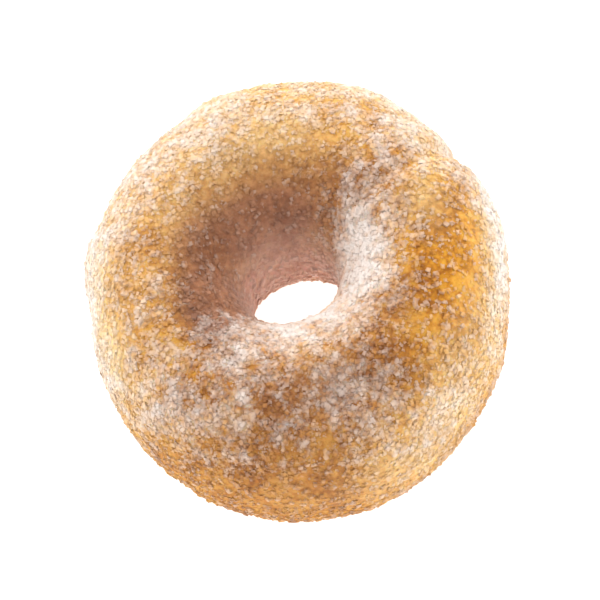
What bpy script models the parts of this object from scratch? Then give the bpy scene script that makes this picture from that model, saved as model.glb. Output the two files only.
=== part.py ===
"""Mini sugar doughnut: one ring of fried dough, a little longer from front to back than from side to side.

The hole is narrow, and its walls widen upwards and downwards. The ring has a fold on its far right side,
a dip on its near shoulder and soft swellings round its outer side. It rests on a flat ring round the hole.
The origin is under the middle of the ring, on the surface that it rests on. Lengths are in metres.
"""

import math

import bpy
from mathutils import Vector, noise

# Overall size. The ring's middle stands a little off the origin, which is under the middle of the whole outline.
MIDDLE = (-0.00039, 0.00001)
OUTER_RADIUS = 0.0282
HOLE_RADIUS = 0.0055
HALF_HEIGHT = 0.0130
BASE_CUT = 0.0003
SQUARENESS = 2.2

# Unevenness of the plan: size in metres, number of swells round the ring, direction of one swell in degrees
OUTER_WAVES = ((0.00012, 1, -24), (0.00128, 2, 79), (0.00011, 3, 30))
HOLE_WAVES = ((0.00047, 1, -121), (0.00064, 2, 2))

# Fold on the far right side, a groove from the rim up over the shoulder
FOLD_TURN = 23.0
FOLD_DEPTH = 0.0010
FOLD_HALF_WIDTH = 3.6
FOLD_FIRST_RISE = -40.0
FOLD_LAST_RISE = 92.0
FOLD_FADE = 18.0

# Dip on the near shoulder, a shallow valley that follows the ring
DIP_TURN = 275.0
DIP_RISE = 74.0
DIP_DEPTH = 0.0016
DIP_HALF_TURN = 17.0
DIP_HALF_RISE = 15.0
DIP_BEND = 0.018

# Swellings and dents of the outer side: turn, rise, half turn and half rise in degrees, height
SWELLINGS = (
    (1, 24, 14, 40, 0.0011),      # right lobe, beside the fold
    (54, 26, 9, 36, 0.0004),      # far right
    (95, 26, 11, 36, 0.0006),     # far left
    (152, 10, 10, 36, 0.0008),    # left
    (169, 6, 5, 30, -0.0004),     # dent in the left side
    (188, 0, 10, 36, 0.0003),     # left, nearer
    (322, -4, 9, 36, 0.0005),     # right, nearer
)

# Soft lumps of the risen dough: size in metres, and lumps in each metre. They fade out towards the flat base.
LUMPS = ((0.00036, 95.0), (0.00016, 230.0))
BASE_RISE = -90.0
BASE_HALF_RISE = 26.0

# Mesh
TURNS = 112
RISES = 44

CRUST_COLOUR = (0.70, 0.36, 0.10, 1.0)
CRUST_ROUGHNESS = 0.75


def clear_scene():
    for item in list(bpy.data.objects):
        bpy.data.objects.remove(item, do_unlink=True)


def waves(base, swells, turn):
    """A radius in the given direction, in degrees round the ring."""
    return base + sum(size * math.cos(count * math.radians(turn - way)) for size, count, way in swells)


def difference(angle, other):
    """The signed difference of two directions, in degrees."""
    return (angle - other + 180.0) % 360.0 - 180.0


def bump(offset, half_width):
    """One at the middle of a feature, falling smoothly to nothing on both sides."""
    return math.exp(-((offset / half_width) ** 2))


def ramp(value, fade):
    """Nothing well below zero and one well above it, with a smooth step as wide as fade."""
    return 0.5 + 0.5 * math.tanh(value / fade)


def fold(turn, rise):
    groove = bump(difference(turn, FOLD_TURN), FOLD_HALF_WIDTH)
    reach = ramp(rise - FOLD_FIRST_RISE, FOLD_FADE) * ramp(FOLD_LAST_RISE - rise, FOLD_FADE)
    return -FOLD_DEPTH * groove * reach


def dip(turn, rise):
    along = difference(turn, DIP_TURN)
    middle = DIP_RISE - DIP_BEND * along**2
    return -DIP_DEPTH * bump(along, DIP_HALF_TURN) * bump(rise - middle, DIP_HALF_RISE)


def swelling(turn, rise):
    height = 0.0
    for way, level, half_turn, half_rise, size in SWELLINGS:
        height += size * bump(difference(turn, way), half_turn) * bump(rise - level, half_rise)
    return height


def lumps(place, rise):
    away_from_base = 1.0 - bump(difference(rise, BASE_RISE), BASE_HALF_RISE)
    return away_from_base * sum(size * noise.noise(place * density) for size, density in LUMPS)


def rounded(value):
    """A cosine or sine drawn out to the fuller section of the dough."""
    return math.copysign(abs(value) ** (2.0 / SQUARENESS), value)


def surface_point(turn, rise):
    """A point of the skin. Turn goes round the ring from +X. Rise goes round the section, up from the outer rim."""
    outer = waves(OUTER_RADIUS, OUTER_WAVES, turn)
    hole = waves(HOLE_RADIUS, HOLE_WAVES, turn)
    outward = Vector((math.cos(math.radians(turn)), math.sin(math.radians(turn)), 0.0))
    across = math.cos(math.radians(rise))
    up = math.sin(math.radians(rise))
    core = outward * (outer + hole) / 2 + Vector((*MIDDLE, HALF_HEIGHT - BASE_CUT))
    reach = outward * rounded(across) * (outer - hole) / 2 + Vector((0.0, 0.0, HALF_HEIGHT * rounded(up)))
    relief = fold(turn, rise) + dip(turn, rise) + swelling(turn, rise) + lumps(core + reach, rise)
    point = core + reach + (outward * across + Vector((0.0, 0.0, up))) * relief
    point.z = max(point.z, 0.0)
    return point


def crust_material():
    material = bpy.data.materials.new("golden_crust")
    material.use_nodes = True
    shader = material.node_tree.nodes["Principled BSDF"]
    shader.inputs["Base Color"].default_value = CRUST_COLOUR
    shader.inputs["Roughness"].default_value = CRUST_ROUGHNESS
    shader.inputs["Metallic"].default_value = 0.0
    return material


def ring_of_dough(collection):
    bpy.ops.mesh.primitive_torus_add(
        major_segments=TURNS,
        minor_segments=RISES,
        major_radius=(OUTER_RADIUS + HOLE_RADIUS) / 2,
        minor_radius=(OUTER_RADIUS - HOLE_RADIUS) / 2,
    )
    ring = bpy.context.object
    ring.name = "doughnut"
    ring.data.name = "doughnut"
    middle_radius = (OUTER_RADIUS + HOLE_RADIUS) / 2
    for vertex in ring.data.vertices:
        x, y, z = vertex.co
        turn = math.degrees(math.atan2(y, x)) % 360.0
        rise = math.degrees(math.atan2(z, math.hypot(x, y) - middle_radius))
        rise = (rise + 90.0) % 360.0 - 90.0
        vertex.co = surface_point(turn, rise)
    ring.data.shade_smooth()
    ring.data.materials.append(crust_material())
    for holder in list(ring.users_collection):
        holder.objects.unlink(ring)
    collection.objects.link(ring)
    return ring


def main():
    clear_scene()
    collection = bpy.data.collections.new("mini_sugar_doughnut")
    bpy.context.scene.collection.children.link(collection)
    ring_of_dough(collection)


main()
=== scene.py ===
"""The looks of the mini sugar doughnut: browned crust with painted shade, painted rim light and a painted
glow in the hole, a coat of sugar crystals, floor, lights and camera.

Lengths are in metres. Turn is the angle round the ring from +X, in degrees. Rise is the angle round the
ring's section, in degrees: 0 at the outer rim, 90 on top, 180 in the hole and -90 underneath.
"""

import math

import bpy
import numpy as np
from mathutils import Matrix, Vector, noise


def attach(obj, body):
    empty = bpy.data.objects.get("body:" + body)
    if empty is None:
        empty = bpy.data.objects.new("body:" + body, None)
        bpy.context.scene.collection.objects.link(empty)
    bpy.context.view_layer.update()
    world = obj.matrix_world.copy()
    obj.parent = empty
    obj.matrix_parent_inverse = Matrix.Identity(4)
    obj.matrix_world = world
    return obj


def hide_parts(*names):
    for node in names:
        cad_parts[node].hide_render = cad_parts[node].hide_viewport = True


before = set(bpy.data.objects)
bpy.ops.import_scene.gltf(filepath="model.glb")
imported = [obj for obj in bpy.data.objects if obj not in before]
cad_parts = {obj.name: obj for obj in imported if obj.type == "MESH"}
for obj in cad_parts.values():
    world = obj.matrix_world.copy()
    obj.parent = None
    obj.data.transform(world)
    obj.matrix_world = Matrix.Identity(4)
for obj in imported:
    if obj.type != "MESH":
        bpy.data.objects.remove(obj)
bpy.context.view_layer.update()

RANDOM_SEED = 58
rng = np.random.default_rng(RANDOM_SEED)

# The form of the dough, with the same values as its solid
MIDDLE = (-0.00039, 0.00001)
OUTER_RADIUS = 0.0282
HOLE_RADIUS = 0.0055
HALF_HEIGHT = 0.0130
BASE_CUT = 0.0003
SQUARENESS = 2.2

# Unevenness of the plan: size, number of swells round the ring, direction of one swell
OUTER_WAVES = ((0.00012, 1, -24), (0.00128, 2, 79), (0.00011, 3, 30))
HOLE_WAVES = ((0.00047, 1, -121), (0.00064, 2, 2))

# Fold on the far right side, a groove from the rim up over the shoulder
FOLD_TURN = 23.0
FOLD_DEPTH = 0.0010
FOLD_HALF_WIDTH = 3.6
FOLD_FIRST_RISE = -40.0
FOLD_LAST_RISE = 92.0
FOLD_FADE = 18.0

# Dip on the near shoulder, a shallow valley that follows the ring
DIP_TURN = 275.0
DIP_RISE = 74.0
DIP_DEPTH = 0.0016
DIP_HALF_TURN = 17.0
DIP_HALF_RISE = 15.0
DIP_BEND = 0.018

# Swellings and dents of the outer side: turn, rise, half turn, half rise and height
SWELLINGS = (
    (1, 24, 14, 40, 0.0011),      # right lobe, beside the fold
    (54, 26, 9, 36, 0.0004),      # far right
    (95, 26, 11, 36, 0.0006),     # far left
    (152, 10, 10, 36, 0.0008),    # left
    (169, 6, 5, 30, -0.0004),     # dent in the left side
    (188, 0, 10, 36, 0.0003),     # left, nearer
    (322, -4, 9, 36, 0.0005),     # right, nearer
)

# Soft lumps of the risen dough: size, and lumps in each metre. They fade out towards the flat base.
LUMPS = ((0.00036, 95.0), (0.00016, 230.0))
BASE_RISE = -90.0
BASE_HALF_RISE = 26.0

# Fine relief of the crust, which the solid leaves out: size, and wrinkles in each metre
WRINKLES = ((0.00016, 420.0), (0.00009, 900.0), (0.00005, 1900.0))

# Mesh of the crust
CRUST_TURNS = 400
CRUST_RISES = 236

# Where the sugar lies thick or thin: turn, rise, half turn, half rise and how much more or less there is
DRIFTS = (
    (352, 130, 42, 33, 0.92),   # right rim of the hole
    (266, 136, 54, 22, 0.75),   # near rim of the hole
    (226, 106, 15, 16, 0.4),    # left of the near rim
    (194, 138, 18, 22, -0.3),   # left wall of the hole
    (100, 172, 80, 26, -0.4),   # lower part of the far wall
    (214, 54, 20, 24, 0.26),    # near left shoulder
    (280, 76, 10, 12, 0.3),     # in the dip
    (104, 74, 14, 20, 0.2),     # far left shoulder
    (34, 66, 14, 26, 0.25),     # beside the fold
    (338, 62, 25, 34, -0.7),    # right shoulder
    (306, 78, 10, 12, -0.35),   # right of the dip
    (182, 52, 16, 22, -0.3),    # left shoulder
    (76, 96, 20, 12, -0.4),     # far top
    (8, 77, 13, 16, -0.25),     # right of the fold
    (258, 4, 54, 30, -0.55),    # near side
    (176, 18, 30, 20, 0.6),     # left side
    (350, 20, 25, 18, 0.72),    # right side
    (292, 18, 16, 20, 0.35),    # near right side
    (42, 20, 30, 26, 0.3),      # far right side
    (0, -90, 900, 30, -0.3),    # underneath
    (105, 130, 74, 34, -0.6),   # far wall of the hole
    (130, 38, 40, 26, 0.25),    # far side
)
THIN_SUGAR = 0.66
LEAST_SUGAR = 0.23

# Small clusters of crystals: how much more or less sugar, and clusters in each metre
CLUSTERS = ((0.26, 260.0), (0.40, 620.0))

# Where the crust is browned more, and painted shade on the hole's walls, in the dip and on the near side:
# turn, rise, half turn, half rise and how much
TOASTED_AND_SHADED = (
    (96, 138, 88, 40, 1.2),     # far wall of the hole
    (198, 140, 28, 34, 1.1),    # left wall of the hole
    (200, 116, 20, 20, 0.66),   # left of the hole
    (152, 106, 30, 18, 0.45),   # far left of the hole
    (44, 104, 18, 16, 0.25),    # far right of the hole
    (318, 96, 24, 18, 0.38),    # right shoulder
    (264, 84, 42, 30, 0.76),    # near shoulder and dip
    (250, 40, 32, 26, 0.42),    # near left shoulder
    (252, 4, 44, 28, 0.47),     # near side
    (90, -30, 112, 34, 0.75),   # lower side, all but the near part
)

# Where the crust stayed paler, and painted rim light on the outer sides: turn, rise, half turn, half rise and
# how much
PALE_AND_RIM_LIT = (
    (108, 42, 62, 28, 0.42),    # far side
    (178, 32, 32, 28, 0.8),     # left side
    (345, 20, 24, 22, 0.85),    # right side
    (314, 44, 14, 16, 0.35),    # right of the dip
    (40, 24, 30, 30, 0.6),      # far right side
    (104, 80, 46, 24, 0.4),     # far shoulder
    (294, 12, 22, 30, 0.65),    # near right side
    (84, 92, 30, 13, 0.25),     # far top
    (6, 78, 13, 16, 0.55),      # right of the fold
    (180, 78, 16, 20, 0.15),    # left shoulder
)

# Painted pinkish glow low in the hole, where light comes up from the floor: turn, rise, half turn, half rise
# and how much
HOLE_GLOW = (
    (100, 184, 220, 28, 1.2),   # lower half of the hole's wall
)

# Kinds of sugar crystal: count, smallest and largest size, share that is sunk in the crust
COARSE_SUGAR = (15500, 0.00050, 0.00082, 0.53)
MEDIUM_SUGAR = (24000, 0.00036, 0.00062, 0.42)
FINE_SUGAR = (24000, 0.00014, 0.00030, 0.15)

# Forms of crystal for a size of one: shortest and longest side, and how far a corner is off its place
BLOCK_SIDES = (0.65, 1.15)
BLOCK_UNEVENNESS = 0.13
BLOCK_TAPER = 0.7
CHIP_SIDES = (0.7, 1.3)
CHIP_UNEVENNESS = 0.12

# How the crystals lie: height for their width, usual lean in radians, and least share of their lift
CRYSTAL_HEIGHT = 0.66
USUAL_LEAN = 0.35
LEAST_LIFT = 0.4

# The lowest that a crystal's middle lies over the floor, for its size
FLOOR_CLEARANCE = 0.7

# How far the light treats the sides of a crystal as part of the crust that it lies on
SOFTNESS = 0.82
SHORTEST_DIRECTION = 0.001

# Colours of the crust, from its darkest mottles to its lightest
CRUST_TONES = (
    (0.48, (0.44, 0.150, 0.012)),
    (0.60, (0.74, 0.295, 0.018)),
    (0.72, (0.90, 0.440, 0.045)),
)
# Browner crust, also used as painted shade on the hole's walls, in the dip and on the near side
TOASTED_AND_SHADE_TONES = (
    (0.46, (0.265, 0.107, 0.054)),
    (0.60, (0.345, 0.145, 0.073)),
    (0.74, (0.460, 0.204, 0.105)),
)
# Paler crust, also used as painted rim light on the outer sides
PALE_AND_RIM_LIGHT_TONES = (
    (0.46, (0.91, 0.56, 0.22)),
    (0.60, (0.96, 0.67, 0.32)),
    (0.72, (0.98, 0.76, 0.45)),
)
# Painted pinkish glow of light coming up the hole from the floor
HOLE_GLOW_TONES = (
    (0.46, (0.87, 0.56, 0.46)),
    (0.60, (0.94, 0.66, 0.56)),
    (0.72, (0.96, 0.72, 0.62)),
)
DUST_TONE = (0.92, 0.80, 0.70)
SUGAR_TONE = (0.95, 0.84, 0.765)

# Noise in the materials: swells in each metre, and finer layers that are added
BROAD_MOTTLE = (170.0, 3.0)
FINE_MOTTLE = (1300.0, 3.0)
DUST_SPECKS = (1900.0, 2.0)
CRUST_GRAIN = (1500.0, 4.0)
WHITE_BLOBS = (950.0, 1.0)
CRYSTAL_GRAIN = (5000.0, 1.0)
BROAD_SHARE = 0.55
FINE_SHARE = 0.65
GRAIN_LOW = 0.3
GRAIN_HIGH = 0.7

# Finest sugar, painted on the crust where the coat is thick
DUST_STARTS = 1.05
DUST_FULL = 1.75
MOST_DUST = 0.80

# How white a crystal is, by its place in the blobs of noise, by chance and by how thick the sugar lies
BLOBS_START = 0.40
BLOBS_FULL = 0.74
EACH_DIFFERS = 0.10
LEAST_WHITE = 0.0
MOST_WHITE = 0.39
THICK_STARTS = 0.55
THICK_FULL = 1.5
THICK_SUGAR_WHITER = 0.90
# Crystals darker on browned crust and where the crust carries painted shade
BROWN_AND_SHADED_SUGAR_DARKER = 0.20

# Surface of the crust. A bump is its strength and its height.
CRUST_ROUGHNESS = (0.62, 0.85)
CRUST_BUMP = (0.7, 0.00012)
CRUST_SHINE = 0.15
CRUST_SUBSURFACE = 0.35
SUBSURFACE_RADII = (1.0, 0.5, 0.2)
SUBSURFACE_DEPTH = 0.0012

# Surface of the crystals
COARSE_ROUGHNESS = 0.44
MEDIUM_ROUGHNESS = 0.48
FINE_ROUGHNESS = 0.55
ROUGHNESS_SPREAD = 0.06
CRYSTAL_BUMP = (0.2, 0.00003)
SUGAR_SHINE = 0.35

# Camera: it looks down at the photo's angle and is rolled so that the far side leans left
CAMERA_HEIGHT = 64.0
CAMERA_ROLL = 17.0
CAMERA_DISTANCE = 0.50
CAMERA_REACH = (0.01, 20.0)
PIXELS_PER_METRE = 7700.0
PICTURE_WIDTH = 600
SENSOR_WIDTH = 0.036
AIM_RIGHT = 0.00028
AIM_UP = 0.00014

# Floor, a little under the surface that the doughnut rests on
FLOOR_SIDE = 3.0
FLOOR_DROP = 0.0002
FLOOR_COLOUR = (0.60, 0.60, 0.60)
FLOOR_ROUGHNESS = 0.9
FLOOR_GLOW = 0.95

# Light from the surround: strength overhead and at the doughnut's level, and how much more from two sides
SKY_OVERHEAD = 0.62
SKY_LEVEL = 1.95
SKY_OVERHEAD_STARTS = 0.9
SKY_BEHIND = 0.40
SKY_RIGHT = 0.20

# Soft lamp, far left of the doughnut
KEY_PLACE = (-0.14, 0.40, 0.36)
KEY_SIZE = 0.40
KEY_POWER = 1.0

WHITE = (1.0, 1.0, 1.0)


def waves(base, swells, turn):
    """A radius in each of the given directions."""
    radius = np.full_like(turn, base)
    for size, count, way in swells:
        radius += size * np.cos(count * np.radians(turn - way))
    return radius


def difference(angle, other):
    """The signed difference of two directions, in degrees."""
    return (angle - other + 180.0) % 360.0 - 180.0


def bump(offset, half_width):
    """One at the middle of a feature, falling smoothly to nothing on both sides."""
    return np.exp(-((offset / half_width) ** 2))


def ramp(value, fade):
    """Nothing well below zero and one well above it, with a smooth step as wide as fade."""
    return 0.5 + 0.5 * np.tanh(value / fade)


def noise_at(places, swells):
    """Smooth noise summed over (size, swells in each metre) pairs, at each place."""
    return np.array([sum(size * noise.noise(place * many) for size, many in swells) for place in places])


def fold(turn, rise):
    groove = bump(difference(turn, FOLD_TURN), FOLD_HALF_WIDTH)
    reach = ramp(rise - FOLD_FIRST_RISE, FOLD_FADE) * ramp(FOLD_LAST_RISE - rise, FOLD_FADE)
    return -FOLD_DEPTH * groove * reach


def dip(turn, rise):
    along = difference(turn, DIP_TURN)
    middle = DIP_RISE - DIP_BEND * along**2
    return DIP_DEPTH * (bump(along, DIP_HALF_TURN) * bump(rise - middle, DIP_HALF_RISE))


def large_relief(turn, rise):
    """The fold, the dip, the swellings and the dents of the dough."""
    relief = fold(turn, rise) - dip(turn, rise)
    for way, level, half_turn, half_rise, size in SWELLINGS:
        relief += size * bump(difference(turn, way), half_turn) * bump(rise - level, half_rise)
    return relief


def rounded(value):
    """A cosine or sine drawn out to the fuller section of the dough."""
    return np.sign(value) * np.abs(value) ** (2.0 / SQUARENESS)


def crust_points(turn, rise):
    """The skin of the dough at each turn and rise, with its soft lumps and fine wrinkles."""
    outer = waves(OUTER_RADIUS, OUTER_WAVES, turn)
    hole = waves(HOLE_RADIUS, HOLE_WAVES, turn)
    across = np.cos(np.radians(rise))
    up = np.sin(np.radians(rise))
    way_x = np.cos(np.radians(turn))
    way_y = np.sin(np.radians(turn))
    radius = (outer + hole) / 2 + rounded(across) * (outer - hole) / 2
    height = HALF_HEIGHT - BASE_CUT + HALF_HEIGHT * rounded(up)
    smooth = np.stack([MIDDLE[0] + way_x * radius, MIDDLE[1] + way_y * radius, height], axis=1)
    places = [Vector(point) for point in smooth]
    away_from_base = 1.0 - bump(difference(rise, BASE_RISE), BASE_HALF_RISE)
    relief = large_relief(turn, rise)
    relief += away_from_base * (noise_at(places, LUMPS) + noise_at(places, WRINKLES))
    points = smooth + np.stack([way_x * across, way_y * across, up], axis=1) * relief[:, None]
    points[:, 2] = np.maximum(points[:, 2], 0.0)
    return points


def patches(turn, rise, table):
    """The soft-edged patches of a table, summed at each turn and rise."""
    total = np.zeros_like(turn)
    for way, height, half_turn, half_rise, more in table:
        total += more * bump(difference(turn, way), half_turn) * bump(difference(rise, height), half_rise)
    return total


def sugar_cover(turn, rise, places):
    """How thick the sugar lies at each place: about 1 in a drift, and less where crust shows."""
    cover = THIN_SUGAR + patches(turn, rise, DRIFTS) + noise_at(places, CLUSTERS)
    return np.maximum(cover, LEAST_SUGAR)


def ring_grid():
    """The turn and rise of each point of the crust, and the four corners of each face."""
    turn = np.repeat(np.arange(CRUST_TURNS) * 360.0 / CRUST_TURNS, CRUST_RISES)
    rise = np.tile(np.arange(CRUST_RISES) * 360.0 / CRUST_RISES - 90.0, CRUST_TURNS)
    ring, row = np.divmod(np.arange(CRUST_TURNS * CRUST_RISES), CRUST_RISES)
    next_ring = (ring + 1) % CRUST_TURNS
    next_row = (row + 1) % CRUST_RISES
    corners = [
        ring * CRUST_RISES + row,
        next_ring * CRUST_RISES + row,
        next_ring * CRUST_RISES + next_row,
        ring * CRUST_RISES + next_row,
    ]
    return turn, rise, np.stack(corners, axis=1)


def mesh_piece(name, points, faces, material, smooth):
    mesh = bpy.data.meshes.new(name)
    mesh.from_pydata(points.tolist(), [], faces.tolist())
    mesh.update()
    if smooth:
        mesh.shade_smooth()
    else:
        mesh.shade_flat()
    mesh.materials.append(material)
    piece = bpy.data.objects.new(name, mesh)
    bpy.context.scene.collection.objects.link(piece)
    return piece


def add_values(piece, name, values):
    """A number at each point of the piece, which its material reads by name."""
    layer = piece.data.attributes.new(name, "FLOAT", "POINT")
    layer.data.foreach_set("value", values.astype(np.float32))


def new_material(name):
    material = bpy.data.materials.new(name)
    material.use_nodes = True
    tree = material.node_tree
    return material, tree, tree.nodes["Principled BSDF"]


def link(tree, source, target):
    tree.links.new(source, target)


def place_node(tree):
    return tree.nodes.new("ShaderNodeTexCoord").outputs["Object"]


def noise_node(tree, kind, where):
    scale, detail = kind
    node = tree.nodes.new("ShaderNodeTexNoise")
    node.inputs["Scale"].default_value = scale
    node.inputs["Detail"].default_value = detail
    link(tree, where, node.inputs["Vector"])
    return node.outputs["Fac"]


def ramp_node(tree, factor, stops):
    node = tree.nodes.new("ShaderNodeValToRGB")
    first, last = node.color_ramp.elements
    first.position, first.color = stops[0][0], (*stops[0][1], 1.0)
    last.position, last.color = stops[-1][0], (*stops[-1][1], 1.0)
    for place, colour in stops[1:-1]:
        node.color_ramp.elements.new(place).color = (*colour, 1.0)
    link(tree, factor, node.inputs["Fac"])
    return node.outputs["Color"]


def mix_node(tree, factor, first, second):
    node = tree.nodes.new("ShaderNodeMix")
    node.data_type = "RGBA"
    link(tree, factor, node.inputs["Factor"])
    link(tree, first, node.inputs["A"])
    link(tree, second, node.inputs["B"])
    return node.outputs["Result"]


def maths_node(tree, operation, first, second):
    """The second may be a number or the output of another node."""
    node = tree.nodes.new("ShaderNodeMath")
    node.operation = operation
    link(tree, first, node.inputs[0])
    if isinstance(second, float):
        node.inputs[1].default_value = second
    else:
        link(tree, second, node.inputs[1])
    return node.outputs["Value"]


def range_node(tree, value, lowest, highest, first, last):
    """The value carried over from one range to another, and held at its ends."""
    node = tree.nodes.new("ShaderNodeMapRange")
    node.inputs["From Min"].default_value = lowest
    node.inputs["From Max"].default_value = highest
    node.inputs["To Min"].default_value = first
    node.inputs["To Max"].default_value = last
    link(tree, value, node.inputs["Value"])
    return node.outputs["Result"]


def attribute_node(tree, name):
    node = tree.nodes.new("ShaderNodeAttribute")
    node.attribute_name = name
    return node.outputs["Fac"]


def colour_node(tree, colour):
    node = tree.nodes.new("ShaderNodeRGB")
    node.outputs["Color"].default_value = (*colour, 1.0)
    return node.outputs["Color"]


def bump_node(tree, height, kind):
    strength, distance = kind
    node = tree.nodes.new("ShaderNodeBump")
    node.inputs["Strength"].default_value = strength
    node.inputs["Distance"].default_value = distance
    link(tree, height, node.inputs["Height"])
    return node.outputs["Normal"]


def crust_colour(tree, where):
    """Gold; browner where toasted, with painted shade on the hole's walls, in the dip and on the near side;
    paler where hardly coloured, with painted rim light on the outer sides; and a painted pinkish glow low in
    the hole.
    """
    broad = maths_node(tree, "MULTIPLY", noise_node(tree, BROAD_MOTTLE, where), BROAD_SHARE)
    fine = maths_node(tree, "MULTIPLY", noise_node(tree, FINE_MOTTLE, where), FINE_SHARE)
    mottle = maths_node(tree, "ADD", broad, fine)
    gold = ramp_node(tree, mottle, CRUST_TONES)
    shaded_brown = ramp_node(tree, mottle, TOASTED_AND_SHADE_TONES)
    pale_and_rim_lit = ramp_node(tree, mottle, PALE_AND_RIM_LIGHT_TONES)
    hole_glow = ramp_node(tree, mottle, HOLE_GLOW_TONES)
    # Browner crust, with painted shade
    baked_and_shaded = mix_node(tree, attribute_node(tree, "browning_and_shade"), gold, shaded_brown)
    # Paler crust, with painted rim light
    baked_and_rim_lit = mix_node(tree, attribute_node(tree, "paleness_and_rim_light"), baked_and_shaded, pale_and_rim_lit)
    # Painted pinkish glow low in the hole
    return mix_node(tree, attribute_node(tree, "painted_hole_glow"), baked_and_rim_lit, hole_glow)


def crust_material():
    """Fried crust, with a dusting of the finest sugar where the coat is thick."""
    material, tree, shader = new_material("fried_crust")
    where = place_node(tree)
    specks = noise_node(tree, DUST_SPECKS, where)
    thick = maths_node(tree, "ADD", attribute_node(tree, "sugar_cover"), specks)
    dust = range_node(tree, thick, DUST_STARTS, DUST_FULL, 0.0, MOST_DUST)
    colour = mix_node(tree, dust, crust_colour(tree, where), colour_node(tree, DUST_TONE))
    grain = noise_node(tree, CRUST_GRAIN, where)
    roughness = range_node(tree, grain, GRAIN_LOW, GRAIN_HIGH, *CRUST_ROUGHNESS)
    link(tree, colour, shader.inputs["Base Color"])
    link(tree, roughness, shader.inputs["Roughness"])
    link(tree, bump_node(tree, grain, CRUST_BUMP), shader.inputs["Normal"])
    shader.inputs["Specular IOR Level"].default_value = CRUST_SHINE
    shader.inputs["Subsurface Weight"].default_value = CRUST_SUBSURFACE
    shader.inputs["Subsurface Radius"].default_value = SUBSURFACE_RADII
    shader.inputs["Subsurface Scale"].default_value = SUBSURFACE_DEPTH
    return material


def whiteness(tree, where):
    """How white a crystal is: in blobs of noise, whiter in a drift, and less white on browned crust and where
    the crust carries painted shade.
    """
    each = tree.nodes.new("ShaderNodeNewGeometry").outputs["Random Per Island"]
    chance = maths_node(tree, "MULTIPLY", each, EACH_DIFFERS)
    blobs = maths_node(tree, "ADD", noise_node(tree, WHITE_BLOBS, where), chance)
    patchy = range_node(tree, blobs, BLOBS_START, BLOBS_FULL, LEAST_WHITE, MOST_WHITE)
    cover = attribute_node(tree, "sugar_cover")
    thick = range_node(tree, cover, THICK_STARTS, THICK_FULL, 0.0, THICK_SUGAR_WHITER)
    shaded_brown = maths_node(tree, "MULTIPLY", attribute_node(tree, "browning_and_shade"), BROWN_AND_SHADED_SUGAR_DARKER)
    white = maths_node(tree, "SUBTRACT", maths_node(tree, "ADD", patchy, thick), shaded_brown)
    return range_node(tree, white, 0.0, 1.0, 0.0, 1.0)


def sugar_material(name, roughness):
    """Crystals that let the colour of the crust show through, each one more or less white."""
    material, tree, shader = new_material(name)
    where = place_node(tree)
    white = whiteness(tree, where)
    # The crust's colour under the crystals carries its painted shade, painted rim light and painted glow
    colour = mix_node(tree, white, crust_colour(tree, where), colour_node(tree, SUGAR_TONE))
    grain = noise_node(tree, CRYSTAL_GRAIN, where)
    smoothest = roughness - ROUGHNESS_SPREAD
    roughest = roughness + ROUGHNESS_SPREAD
    surface = range_node(tree, grain, GRAIN_LOW, GRAIN_HIGH, smoothest, roughest)
    link(tree, colour, shader.inputs["Base Color"])
    link(tree, surface, shader.inputs["Roughness"])
    link(tree, bump_node(tree, grain, CRYSTAL_BUMP), shader.inputs["Normal"])
    shader.inputs["Specular IOR Level"].default_value = SUGAR_SHINE
    return material


def block_crystals(count):
    """Blocky crystals with uneven corners, one unit across and narrower at the top."""
    corners = np.array([(x, y, z) for x in (-0.5, 0.5) for y in (-0.5, 0.5) for z in (-0.5, 0.5)])
    faces = np.array([(0, 1, 3, 2), (4, 6, 7, 5), (0, 4, 5, 1), (2, 3, 7, 6), (0, 2, 6, 4), (1, 5, 7, 3)])
    corners[corners[:, 2] > 0, :2] *= BLOCK_TAPER
    sides = rng.uniform(*BLOCK_SIDES, (count, 1, 3))
    return corners * sides + rng.uniform(-BLOCK_UNEVENNESS, BLOCK_UNEVENNESS, (count, 8, 3)), faces


def chip_crystals(count):
    """Broken chips with six points and eight faces, one unit across."""
    points = np.array([(0.5, 0, 0), (-0.5, 0, 0), (0, 0.5, 0), (0, -0.5, 0), (0, 0, 0.5), (0, 0, -0.5)])
    faces = np.array([(0, 2, 4), (2, 1, 4), (1, 3, 4), (3, 0, 4), (2, 0, 5), (1, 2, 5), (3, 1, 5), (0, 3, 5)])
    sides = rng.uniform(*CHIP_SIDES, (count, 1, 3))
    return points * sides + rng.uniform(-CHIP_UNEVENNESS, CHIP_UNEVENNESS, (count, 6, 3)), faces


def picked_spots(crust, faces, cover, count):
    """Random spots on the crust, more of them where the sugar is thick, with their faces and directions."""
    corners = crust[faces]
    across = np.cross(corners[:, 2] - corners[:, 0], corners[:, 3] - corners[:, 1])
    lengths = np.linalg.norm(across, axis=1)
    weights = np.cumsum(lengths / 2 * cover[faces].mean(axis=1))
    chosen = np.searchsorted(weights, rng.uniform(0, weights[-1], count))
    u, v = rng.uniform(0, 1, (2, count, 1))
    quad = corners[chosen]
    first_side = quad[:, 0] * (1 - u) + quad[:, 1] * u
    last_side = quad[:, 3] * (1 - u) + quad[:, 2] * u
    return chosen, first_side * (1 - v) + last_side * v, (across / lengths[:, None])[chosen]


def crystal_middles(spots, normals, sizes, sunk):
    """Where the middles of crystals lie: over the crust by the share that isn't sunk, clear of the floor."""
    lift = rng.uniform(LEAST_LIFT, 1.0, (len(spots), 1))
    middles = spots + normals * sizes * (0.5 - sunk) * lift
    middles[:, 2] = np.maximum(middles[:, 2], sizes[:, 0] * FLOOR_CLEARANCE)
    return middles


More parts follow.
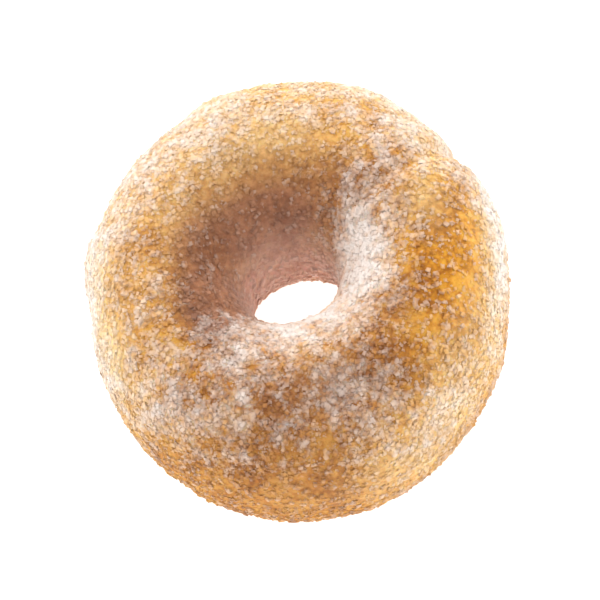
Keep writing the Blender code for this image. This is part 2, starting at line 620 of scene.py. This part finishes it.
def lying_turns(normals):
    """Rotation matrices for crystals that lie on the crust: turned at random, and tilted a little."""
    count = len(normals)
    spin = rng.uniform(0, 2 * math.pi, count)
    lean = np.abs(rng.normal(0, USUAL_LEAN, count))
    lean_way = rng.uniform(0, 2 * math.pi, count)
    side = np.cross(normals, rng.normal(size=(count, 3)))
    side /= np.linalg.norm(side, axis=1)[:, None]
    other = np.cross(normals, side)
    lean_axis = side * np.cos(lean_way)[:, None] + other * np.sin(lean_way)[:, None]
    up = normals * np.cos(lean)[:, None] + lean_axis * np.sin(lean)[:, None]
    first = np.cross(up, side * np.cos(spin)[:, None] + other * np.sin(spin)[:, None])
    first /= np.linalg.norm(first, axis=1)[:, None]
    return np.stack([first, np.cross(up, first), up], axis=2)


def soften(sugar, sides, normals):
    """Flat sides whose shading is drawn most of the way towards that of the crust below."""
    facing = np.cross(sides[:, :, 1] - sides[:, :, 0], sides[:, :, 2] - sides[:, :, 0])
    facing /= np.linalg.norm(facing, axis=2)[:, :, None]
    facing = facing * (1.0 - SOFTNESS) + normals[:, None] * SOFTNESS
    facing /= np.maximum(np.linalg.norm(facing, axis=2), SHORTEST_DIRECTION)[:, :, None]
    corners = np.repeat(facing.reshape(-1, 3), sides.shape[2], axis=0)
    sugar.data.normals_split_custom_set(corners.tolist())


def scattered(name, crust, faces, values, kind, make, material):
    """One joined mesh of crystals that lie on the crust."""
    count, smallest, largest, sunk = kind
    chosen, spots, normals = picked_spots(crust, faces, values["sugar_cover"], count)
    sizes = rng.uniform(smallest, largest, (count, 1))
    middles = crystal_middles(spots, normals, sizes, sunk)
    shapes, shape_faces = make(count)
    shapes[:, :, 2] *= CRYSTAL_HEIGHT
    shapes = np.einsum("nij,nkj->nki", lying_turns(normals), shapes * sizes[:, None])
    points = (shapes + middles[:, None]).reshape(-1, 3)
    corner_count = shapes.shape[1]
    all_faces = shape_faces[None] + corner_count * np.arange(count)[:, None, None]
    sugar = mesh_piece(name, points, all_faces.reshape(-1, shape_faces.shape[1]), material, smooth=True)
    soften(sugar, shapes[:, shape_faces], normals)
    for value_name, at_points in values.items():
        add_values(sugar, value_name, np.repeat(at_points[faces].mean(axis=1)[chosen], corner_count))
    return sugar


def surface_values(turn, rise, points):
    """What the materials read at each point of the crust. The sugar is scattered by its cover."""
    return {
        "sugar_cover": sugar_cover(turn, rise, [Vector(point) for point in points]),
        # Colour marks of the crust: browner with painted shade, paler with painted rim light, and a painted
        # glow in the hole
        "browning_and_shade": patches(turn, rise, TOASTED_AND_SHADED),
        "paleness_and_rim_light": patches(turn, rise, PALE_AND_RIM_LIT),
        "painted_hole_glow": patches(turn, rise, HOLE_GLOW),
    }


def make_crust(points, faces, values):
    crust = mesh_piece("crust", points, faces, crust_material(), smooth=True)
    for name, at_points in values.items():
        add_values(crust, name, at_points)
    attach(crust, "root")
    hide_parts("doughnut")


def make_sugar(points, faces, values):
    kinds = (
        ("sugar_coarse", COARSE_SUGAR, block_crystals, COARSE_ROUGHNESS),
        ("sugar_medium", MEDIUM_SUGAR, chip_crystals, MEDIUM_ROUGHNESS),
        ("sugar_fine", FINE_SUGAR, chip_crystals, FINE_ROUGHNESS),
    )
    for name, kind, make, roughness in kinds:
        sugar = scattered(name, points, faces, values, kind, make, sugar_material(name, roughness))
        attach(sugar, "root")


def make_doughnut():
    turn, rise, faces = ring_grid()
    points = crust_points(turn, rise)
    values = surface_values(turn, rise, points)
    make_crust(points, faces, values)
    make_sugar(points, faces, values)


def floor_material():
    material, tree, shader = new_material("pale_floor")
    shader.inputs["Base Color"].default_value = (*FLOOR_COLOUR, 1.0)
    shader.inputs["Roughness"].default_value = FLOOR_ROUGHNESS
    shader.inputs["Emission Color"].default_value = (*WHITE, 1.0)
    shader.inputs["Emission Strength"].default_value = FLOOR_GLOW
    return material


def make_floor():
    half = FLOOR_SIDE / 2
    corners = np.array([(-half, -half, 0), (half, -half, 0), (half, half, 0), (-half, half, 0)])
    floor = mesh_piece("floor", corners, np.array([(0, 1, 2, 3)]), floor_material(), smooth=False)
    floor.location.z = -FLOOR_DROP


def make_camera():
    data = bpy.data.cameras.new("camera")
    camera = bpy.data.objects.new("camera", data)
    bpy.context.scene.collection.objects.link(camera)
    height = math.radians(CAMERA_HEIGHT)
    roll = math.radians(CAMERA_ROLL)
    back = Vector((0.0, -math.cos(height), math.sin(height)))
    level = Vector((1.0, 0.0, 0.0))
    steep = back.cross(level)
    right = level * math.cos(roll) - steep * math.sin(roll)
    up = level * math.sin(roll) + steep * math.cos(roll)
    aim = Vector((*MIDDLE, HALF_HEIGHT - BASE_CUT)) + right * AIM_RIGHT - up * AIM_UP
    place = aim + back * CAMERA_DISTANCE
    turned = Matrix((right, up, back)).transposed().to_4x4()
    camera.matrix_world = Matrix.Translation(place) @ turned
    data.sensor_width = SENSOR_WIDTH * 1000
    data.lens = SENSOR_WIDTH * 1000 * CAMERA_DISTANCE * PIXELS_PER_METRE / PICTURE_WIDTH
    data.clip_start, data.clip_end = CAMERA_REACH
    bpy.context.scene.camera = camera


def area_light(name, place, size, power):
    data = bpy.data.lights.new(name, "AREA")
    data.shape = "DISK"
    data.size = size
    data.energy = power
    light = bpy.data.objects.new(name, data)
    light.location = place
    light.rotation_euler = Vector(place).to_track_quat("Z", "Y").to_euler()
    bpy.context.scene.collection.objects.link(light)


def make_surround():
    """White all round, brighter level with the doughnut than overhead, and behind it and on its right."""
    world = bpy.data.worlds.new("white_surround")
    world.use_nodes = True
    tree = world.node_tree
    way = tree.nodes.new("ShaderNodeSeparateXYZ")
    link(tree, tree.nodes.new("ShaderNodeTexCoord").outputs["Generated"], way.inputs["Vector"])
    strength = range_node(tree, way.outputs["Z"], 0.0, SKY_OVERHEAD_STARTS, SKY_LEVEL, SKY_OVERHEAD)
    behind = maths_node(tree, "MULTIPLY", way.outputs["Y"], SKY_BEHIND)
    beside = maths_node(tree, "MULTIPLY", way.outputs["X"], SKY_RIGHT)
    more = maths_node(tree, "ADD", behind, beside)
    background = tree.nodes["Background"]
    background.inputs["Color"].default_value = (*WHITE, 1.0)
    link(tree, maths_node(tree, "ADD", strength, more), background.inputs["Strength"])
    bpy.context.scene.world = world


def make_lights():
    area_light("key_light", KEY_PLACE, KEY_SIZE, KEY_POWER)
    make_surround()
    bpy.context.scene.view_settings.view_transform = "Standard"


make_doughnut()
make_floor()
make_camera()
make_lights()
